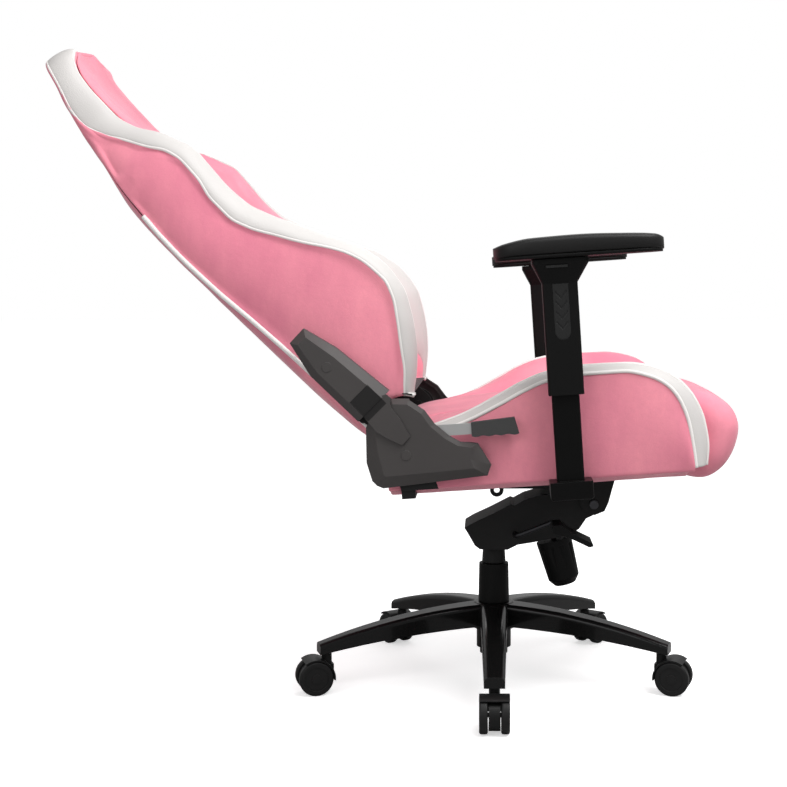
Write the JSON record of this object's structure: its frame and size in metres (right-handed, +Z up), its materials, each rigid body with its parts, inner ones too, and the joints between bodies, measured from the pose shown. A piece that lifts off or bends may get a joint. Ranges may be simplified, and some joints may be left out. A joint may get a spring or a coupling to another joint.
{
  "type": "gaming chair",
  "caption": "Reclining racing-style gaming chair in pink velour with white trim, winged back, adjustable armrests, gas lift and a star base on twin-wheel casters.",
  "frame": {"origin": "on the floor, under the gas lift's axis", "axes": "+X to the front of the seat, +Y to the sitter's left, +Z up"},
  "size_m": [1.1676, 0.707, 1.1186],
  "materials": {
    "base_black": "smooth gloss black nylon",
    "black_steel": "black powder coat",
    "black_plastic": "fine matte grain",
    "bearing_metal": "plain turned steel",
    "rod_steel": "dark plated steel",
    "cover_plastic": "dark grey moulded plastic",
    "lever_steel": "plain steel strap",
    "grip_rubber": "soft matte rubber",
    "post_steel": "satin black paint",
    "button_plastic": "satin black plastic",
    "runner_plastic": "smooth acetal",
    "pad_foam": "soft moulded polyurethane skin",
    "caster_plastic": "black nylon",
    "wheel_plastic": "black nylon",
    "webbing": "woven elastic webbing",
    "pink_fabric": "pink velour with white trim"
  },
  "bodies": {
    "base": {"star_base": "base_black", "gas_column": "black_steel", "column_cover": "black_plastic", "column_bearings": "bearing_metal"},
    "lift_rod": {"piston_rod": "rod_steel"},
    "lift": {"gas_cylinder": "rod_steel", "mechanism_housing": "black_steel", "tilt_spring": "rod_steel", "tilt_pin": "rod_steel"},
    "release_pin": {"release_pin": "rod_steel"},
    "tilt_lock": {"tilt_lock_slide": "black_steel"},
    "height_lever": {"lever_rod": "rod_steel", "lever_paddle": "black_plastic"},
    "tension_knob": {"tension_knob": "black_plastic"},
    "seat": {"seat_plate": "black_steel", "seat_frame": "black_steel", "seat_bolts": "rod_steel", "seat_webbing": "webbing", "seat_cushion": "pink_fabric", "seat_bolster_left": "pink_fabric", "seat_bolster_right": "pink_fabric", "armrest_bars": "black_steel", "armrest_left_post": "post_steel", "armrest_right_post": "post_steel", "recliner_lower_plates": "black_steel", "side_cover_lower_left": "cover_plastic", "side_cover_lower_right": "cover_plastic"},
    "backrest": {"back_frame": "black_steel", "back_webbing": "webbing", "back_cushion": "pink_fabric", "back_bolster_left": "pink_fabric", "back_bolster_right": "pink_fabric", "back_rear_cover": "pink_fabric", "recliner_upper_plates": "black_steel", "side_cover_upper_left": "cover_plastic", "side_cover_upper_right": "cover_plastic"},
    "recline_lever": {"recline_lever": "lever_steel", "recline_grip": "grip_rubber"},
    "armrest_left_sleeve_body": {"armrest_left_sleeve": "black_plastic"},
    "armrest_left_button_body": {"armrest_left_button": "button_plastic"},
    "armrest_left_tab_body": {"armrest_left_tab": "button_plastic"},
    "armrest_left_turntable_body": {"armrest_left_turntable": "runner_plastic"},
    "armrest_left_carriage_body": {"armrest_left_carriage": "runner_plastic"},
    "armrest_left_pad_body": {"armrest_left_pad": "pad_foam"},
    "armrest_right_sleeve_body": {"armrest_right_sleeve": "black_plastic"},
    "armrest_right_button_body": {"armrest_right_button": "button_plastic"},
    "armrest_right_tab_body": {"armrest_right_tab": "button_plastic"},
    "armrest_right_turntable_body": {"armrest_right_turntable": "runner_plastic"},
    "armrest_right_carriage_body": {"armrest_right_carriage": "runner_plastic"},
    "armrest_right_pad_body": {"armrest_right_pad": "pad_foam"},
    "caster_1_yoke_body": {"caster_1_yoke": "caster_plastic"},
    "caster_1_wheels_body": {"caster_1_wheels": "wheel_plastic"},
    "caster_2_yoke_body": {"caster_2_yoke": "caster_plastic"},
    "caster_2_wheels_body": {"caster_2_wheels": "wheel_plastic"},
    "caster_3_yoke_body": {"caster_3_yoke": "caster_plastic"},
    "caster_3_wheels_body": {"caster_3_wheels": "wheel_plastic"},
    "caster_4_yoke_body": {"caster_4_yoke": "caster_plastic"},
    "caster_4_wheels_body": {"caster_4_wheels": "wheel_plastic"},
    "caster_5_yoke_body": {"caster_5_yoke": "caster_plastic"},
    "caster_5_wheels_body": {"caster_5_wheels": "wheel_plastic"}
  },
  "joints": [
    {"name": "recline", "type": "hinge", "parent": "seat", "child": "backrest", "pos_m": [-0.148, 0, 0.478], "axis": [0, -1, 0], "range_deg": [-40, 20]},
    {"name": "seat_height", "type": "slide", "parent": "lift_rod", "child": "lift", "axis": [0, 0, 1], "range_m": [0, 0.08]},
    {"name": "seat_swivel", "type": "hinge", "parent": "base", "child": "lift_rod", "pos_m": [0, 0, 0.2], "axis": [0, 0, 1], "continuous": true},
    {"name": "seat_tilt", "type": "hinge", "parent": "lift", "child": "seat", "pos_m": [0.176, 0, 0.326], "axis": [0, -1, 0], "range_deg": [0, 15], "stiffness_Nm_per_rad": 350, "springref_deg": -25.78},
    {"name": "recline_lever", "type": "hinge", "parent": "seat", "child": "recline_lever", "pos_m": [-0.148, 0, 0.478], "axis": [0, -1, 0], "range_deg": [0, 25], "stiffness_Nm_per_rad": 3, "springref_deg": -28.65},
    {"name": "height_lever", "type": "hinge", "parent": "tilt_lock", "child": "height_lever", "pos_m": [0.038, 0, 0.272], "axis": [0, -1, 0], "range_deg": [0, 12], "stiffness_Nm_per_rad": 3, "springref_deg": -17.19},
    {"name": "release_pin", "type": "slide", "parent": "lift", "child": "release_pin", "axis": [0, 0, -1], "range_m": [0, 0.0085]},
    {"name": "tilt_lock", "type": "slide", "parent": "lift", "child": "tilt_lock", "axis": [0, -1, 0], "range_m": [0, 0.012]},
    {"name": "tension_knob", "type": "hinge", "parent": "lift", "child": "tension_knob", "pos_m": [0.108, 0, 0.255], "axis": [-0.2588, 0, 0.9659], "range_deg": [-720, 720]},
    {"name": "armrest_left_height", "type": "slide", "parent": "seat", "child": "armrest_left_sleeve_body", "axis": [-0.0663, 0, 0.9978], "range_m": [-0.07, 0.015]},
    {"name": "armrest_left_button", "type": "slide", "parent": "armrest_left_sleeve_body", "child": "armrest_left_button_body", "axis": [0, -1, 0], "range_m": [0, 0.0025], "stiffness_N_per_m": 800, "springref_m": -0.002},
    {"name": "armrest_left_tab", "type": "slide", "parent": "armrest_left_sleeve_body", "child": "armrest_left_tab_body", "axis": [0, -1, 0], "range_m": [0, 0.002], "stiffness_N_per_m": 800, "springref_m": -0.002},
    {"name": "armrest_left_rotate", "type": "hinge", "parent": "armrest_left_sleeve_body", "child": "armrest_left_turntable_body", "pos_m": [0.09914, 0.301, 0.75187], "axis": [-0.0663, 0, 0.9978], "range_deg": [-20, 20]},
    {"name": "armrest_left_lateral", "type": "slide", "parent": "armrest_left_turntable_body", "child": "armrest_left_carriage_body", "axis": [0, -1, 0], "range_m": [-0.01, 0.01]},
    {"name": "armrest_left_fore_aft", "type": "slide", "parent": "armrest_left_carriage_body", "child": "armrest_left_pad_body", "axis": [-0.9978, 0, -0.0663], "range_m": [-0.03, 0.03]},
    {"name": "armrest_right_height", "type": "slide", "parent": "seat", "child": "armrest_right_sleeve_body", "axis": [-0.0663, 0, 0.9978], "range_m": [-0.07, 0.015]},
    {"name": "armrest_right_button", "type": "slide", "parent": "armrest_right_sleeve_body", "child": "armrest_right_button_body", "axis": [0, 1, 0], "range_m": [0, 0.0025], "stiffness_N_per_m": 800, "springref_m": -0.002},
    {"name": "armrest_right_tab", "type": "slide", "parent": "armrest_right_sleeve_body", "child": "armrest_right_tab_body", "axis": [0, 1, 0], "range_m": [0, 0.002], "stiffness_N_per_m": 800, "springref_m": -0.002},
    {"name": "armrest_right_rotate", "type": "hinge", "parent": "armrest_right_sleeve_body", "child": "armrest_right_turntable_body", "pos_m": [0.09914, -0.301, 0.75187], "axis": [-0.0663, 0, 0.9978], "range_deg": [-20, 20]},
    {"name": "armrest_right_lateral", "type": "slide", "parent": "armrest_right_turntable_body", "child": "armrest_right_carriage_body", "axis": [0, 1, 0], "range_m": [-0.01, 0.01]},
    {"name": "armrest_right_fore_aft", "type": "slide", "parent": "armrest_right_carriage_body", "child": "armrest_right_pad_body", "axis": [-0.9978, 0, -0.0663], "range_m": [-0.03, 0.03]},
    {"name": "caster_1_swivel", "type": "hinge", "parent": "base", "child": "caster_1_yoke_body", "pos_m": [0, -0.308, 0.07], "axis": [0, 0, 1], "continuous": true},
    {"name": "caster_1_spin", "type": "hinge", "parent": "caster_1_yoke_body", "child": "caster_1_wheels_body", "pos_m": [0, -0.33, 0.03], "axis": [1, 0, 0], "continuous": true},
    {"name": "caster_2_swivel", "type": "hinge", "parent": "base", "child": "caster_2_yoke_body", "pos_m": [0.29292, -0.09518, 0.07], "axis": [0, 0, 1], "continuous": true},
    {"name": "caster_2_spin", "type": "hinge", "parent": "caster_2_yoke_body", "child": "caster_2_wheels_body", "pos_m": [0.31385, -0.10198, 0.03], "axis": [0.309, 0.9511, 0], "continuous": true},
    {"name": "caster_3_swivel", "type": "hinge", "parent": "base", "child": "caster_3_yoke_body", "pos_m": [0.18104, 0.24918, 0.07], "axis": [0, 0, 1], "continuous": true},
    {"name": "caster_3_spin", "type": "hinge", "parent": "caster_3_yoke_body", "child": "caster_3_wheels_body", "pos_m": [0.19397, 0.26698, 0.03], "axis": [-0.809, 0.5878, 0], "continuous": true},
    {"name": "caster_4_swivel", "type": "hinge", "parent": "base", "child": "caster_4_yoke_body", "pos_m": [-0.18104, 0.24918, 0.07], "axis": [0, 0, 1], "continuous": true},
    {"name": "caster_4_spin", "type": "hinge", "parent": "caster_4_yoke_body", "child": "caster_4_wheels_body", "pos_m": [-0.19397, 0.26698, 0.03], "axis": [-0.809, -0.5878, 0], "continuous": true},
    {"name": "caster_5_swivel", "type": "hinge", "parent": "base", "child": "caster_5_yoke_body", "pos_m": [-0.29292, -0.09518, 0.07], "axis": [0, 0, 1], "continuous": true},
    {"name": "caster_5_spin", "type": "hinge", "parent": "caster_5_yoke_body", "child": "caster_5_wheels_body", "pos_m": [-0.31385, -0.10198, 0.03], "axis": [0.309, -0.9511, 0], "continuous": true}
  ],
  "couplings": [
    {"joint": "release_pin", "follows": "height_lever", "m_per_rad": 0.039}
  ]
}
